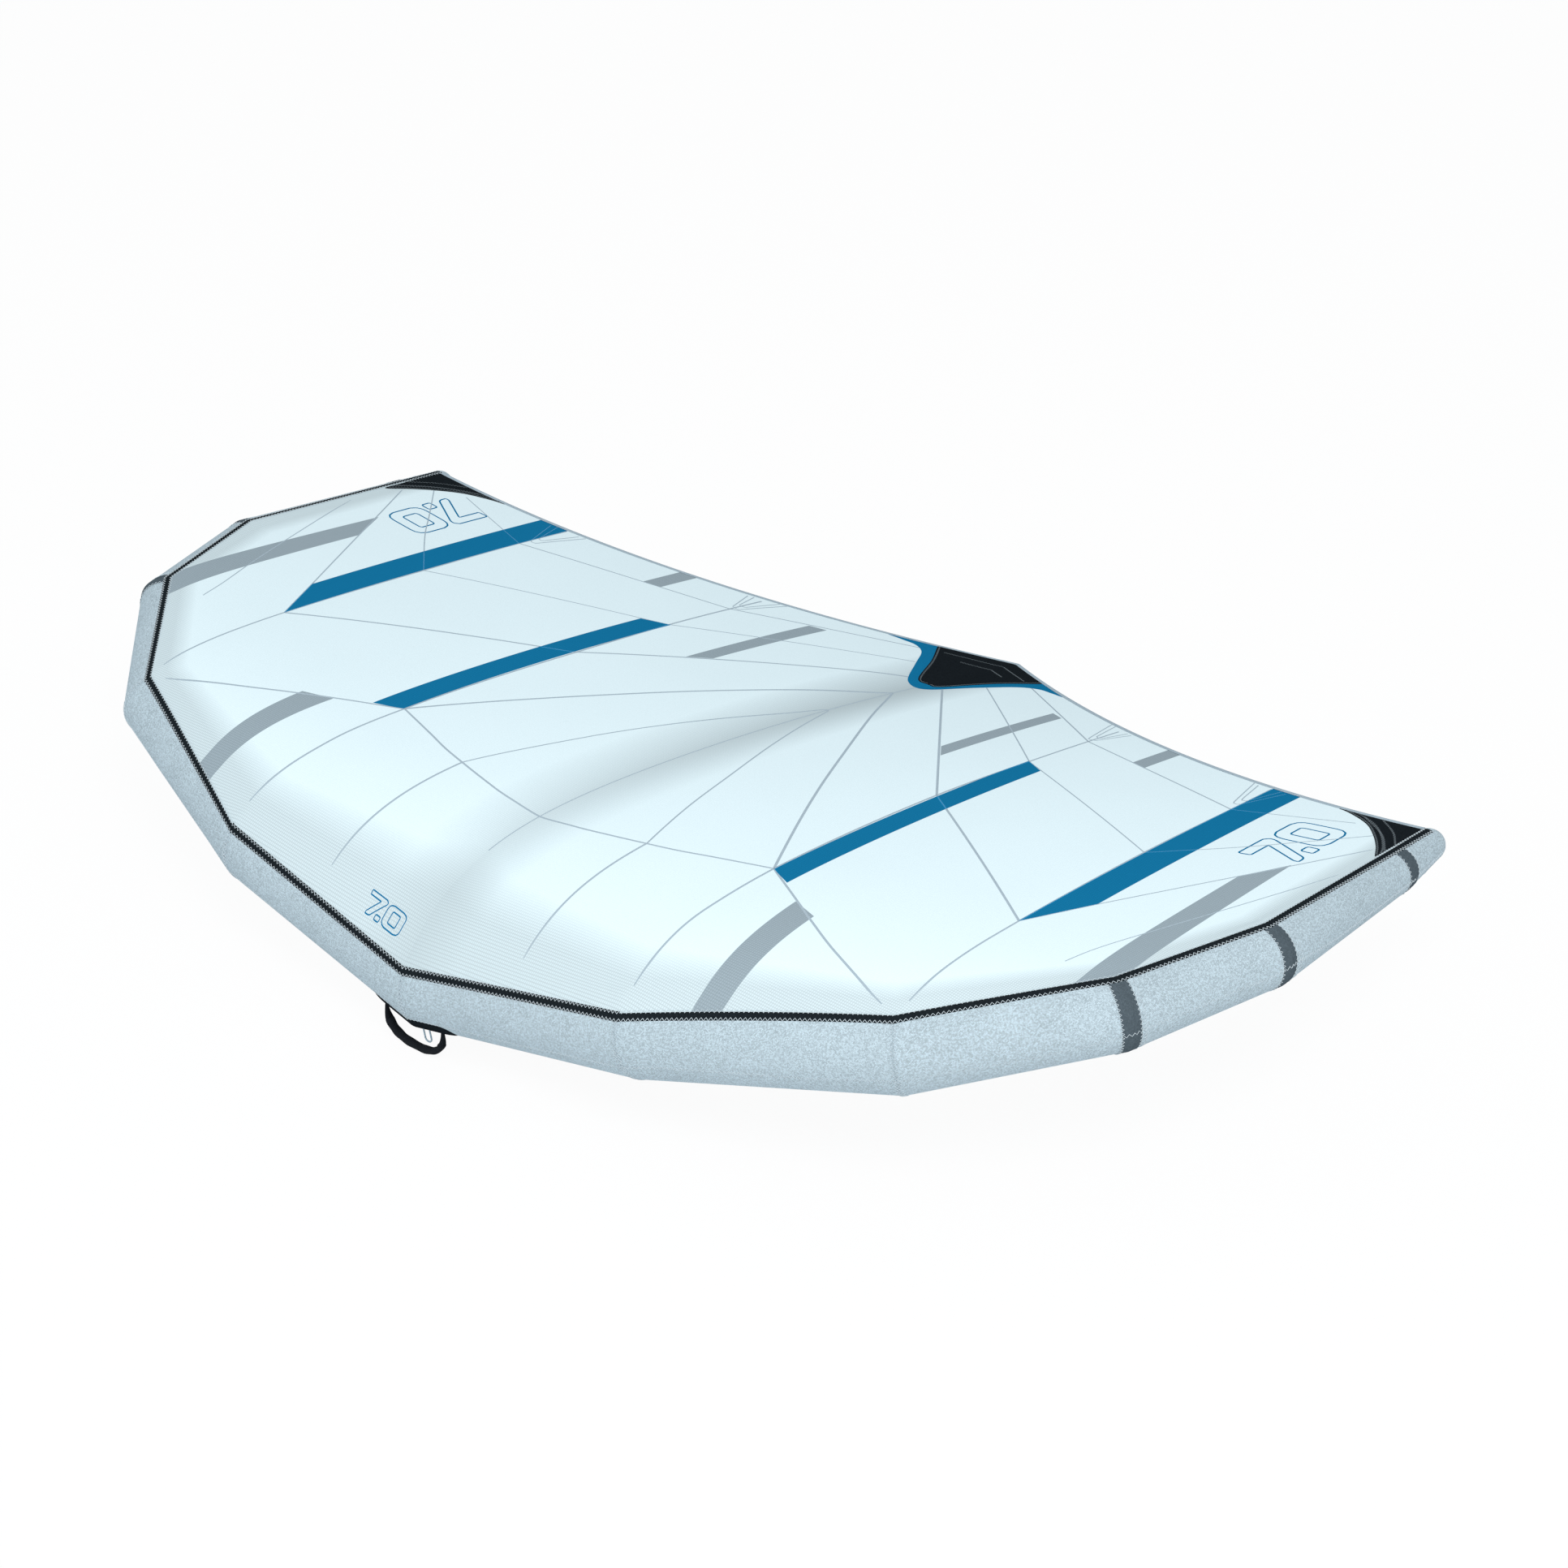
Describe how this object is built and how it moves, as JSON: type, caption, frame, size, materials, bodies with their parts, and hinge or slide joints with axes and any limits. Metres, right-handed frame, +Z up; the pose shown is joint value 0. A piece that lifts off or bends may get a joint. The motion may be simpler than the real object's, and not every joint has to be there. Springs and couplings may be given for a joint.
{
  "type": "wingfoil wing",
  "caption": "Hand-held inflatable wing for foil boards: swept tube leading edge, one centre strut, stretched canopy with dark corners, padded handles under the strut and a carry loop at the nose.",
  "frame": {"origin": "middle of the front strut handle's grip, where a hand holds the wing", "axes": "+X towards the right wingtip, +Y towards the trailing edge, +Z up, away from the handles"},
  "size_m": [3.5586, 2.5074, 0.5606],
  "materials": {
    "sleeve_cloth": "woven polyester, satin",
    "band_cloth": "dark woven tape",
    "seam_tape_cloth": "black stitched tape",
    "bladder_film": "clear polyurethane film",
    "canopy_cloth": "coated ripstop",
    "hem_cloth": "folded hem",
    "patch_cloth": "black reinforcement cloth",
    "border_cloth": "blue coated cloth",
    "webbing": "black woven webbing",
    "grip": "black padded sleeve",
    "handle_patch_cloth": "black reinforcement cloth",
    "cord": "braided cord",
    "valve_body": "moulded polyurethane",
    "valve_insert": "moulded",
    "valve_plunger": "moulded",
    "valve_cap": "moulded",
    "hose_port": "welded polyurethane",
    "hose": "translucent polyurethane",
    "hose_clip": "moulded"
  },
  "bodies": {
    "wing": {"le_sleeve_right_1": "sleeve_cloth", "le_sleeve_right_2": "sleeve_cloth", "le_sleeve_right_3": "sleeve_cloth", "le_sleeve_right_4": "sleeve_cloth", "le_sleeve_right_5": "sleeve_cloth", "le_sleeve_right_6": "sleeve_cloth", "le_corner_band_right_3": "band_cloth", "le_corner_band_right_4": "band_cloth", "le_corner_band_right_5": "band_cloth", "le_sleeve_left_1": "sleeve_cloth", "le_sleeve_left_2": "sleeve_cloth", "le_sleeve_left_3": "sleeve_cloth", "le_sleeve_left_4": "sleeve_cloth", "le_sleeve_left_5": "sleeve_cloth", "le_sleeve_left_6": "sleeve_cloth", "le_corner_band_left_3": "band_cloth", "le_corner_band_left_4": "band_cloth", "le_corner_band_left_5": "band_cloth", "le_seam_tape": "seam_tape_cloth", "le_bladder": "bladder_film", "canopy_right_nose": "canopy_cloth", "canopy_right_shoulder": "canopy_cloth", "canopy_right_centre": "canopy_cloth", "canopy_right_rear": "canopy_cloth", "canopy_right_middle": "canopy_cloth", "canopy_right_tip": "canopy_cloth", "canopy_left_nose": "canopy_cloth", "canopy_left_shoulder": "canopy_cloth", "canopy_left_centre": "canopy_cloth", "canopy_left_rear": "canopy_cloth", "canopy_left_middle": "canopy_cloth", "canopy_left_tip": "canopy_cloth", "trailing_edge_hem": "hem_cloth", "trailing_edge_patch": "patch_cloth", "trailing_edge_border": "border_cloth", "wingtip_patch_right": "patch_cloth", "wingtip_patch_left": "patch_cloth", "strut_sleeve_front": "sleeve_cloth", "strut_sleeve_middle": "sleeve_cloth", "strut_sleeve_rear": "sleeve_cloth", "strut_bladder": "bladder_film", "front_handle_patch": "handle_patch_cloth", "rear_handle_patch": "handle_patch_cloth", "nose_handle_patch": "handle_patch_cloth", "inflation_valve_base": "valve_body", "hose_port_front": "hose_port", "hose_port_rear": "hose_port", "strut_hose": "hose", "hose_clip_base": "hose_clip"},
    "front_handle": {"front_handle_webbing": "webbing", "front_handle_grip": "grip"},
    "rear_handle": {"rear_handle_webbing": "webbing", "rear_handle_grip": "grip"},
    "nose_handle": {"nose_handle_webbing": "webbing", "nose_handle_grip": "grip"},
    "leash_loop_body": {"leash_loop": "cord"},
    "valve_insert": {"inflation_valve_insert": "valve_insert"},
    "valve_plunger": {"inflation_valve_plunger": "valve_plunger"},
    "valve_cap": {"inflation_valve_cap": "valve_cap"},
    "clip_jaw": {"hose_clip_jaw": "hose_clip"}
  },
  "joints": [
    {"name": "front_handle_swing", "type": "hinge", "parent": "wing", "child": "front_handle", "pos_m": [0, 0.00198, 0.08798], "axis": [0, 0.9997, -0.0225], "range_deg": [-78, 78]},
    {"name": "rear_handle_swing", "type": "hinge", "parent": "wing", "child": "rear_handle", "pos_m": [0, 0.66419, 0.01404], "axis": [0, 0.9888, -0.1495], "range_deg": [-78, 78]},
    {"name": "nose_handle_swing", "type": "hinge", "parent": "wing", "child": "nose_handle", "pos_m": [0, -0.58463, -0.11067], "axis": [1, 0, 0], "range_deg": [-115, 28]},
    {"name": "leash_loop_swing", "type": "hinge", "parent": "wing", "child": "leash_loop_body", "pos_m": [0.04088, -0.58625, -0.11944], "axis": [0.9806, 0.059, 0.1871], "range_deg": [-115, 28]},
    {"name": "valve_insert_twist", "type": "hinge", "parent": "wing", "child": "valve_insert", "pos_m": [0.26973, -0.37842, -0.07322], "axis": [0.1042, 0.7033, -0.7033], "range_deg": [0, 90]},
    {"name": "valve_plunger_press", "type": "slide", "parent": "valve_insert", "child": "valve_plunger", "axis": [-0.1042, -0.7033, 0.7033], "range_m": [0, 0.003], "stiffness_N_per_m": 250, "springref_m": -0.002},
    {"name": "valve_cap_hinge", "type": "hinge", "parent": "wing", "child": "valve_cap", "pos_m": [0.29583, -0.36486, -0.08111], "axis": [0.1612, -0.7097, -0.6858], "range_deg": [0, 150]},
    {"name": "hose_clip_hinge", "type": "hinge", "parent": "wing", "child": "clip_jaw", "pos_m": [-0.15813, -0.16482, 0.06064], "axis": [0.0668, -0.7863, -0.6142], "range_deg": [0, 100]}
  ]
}
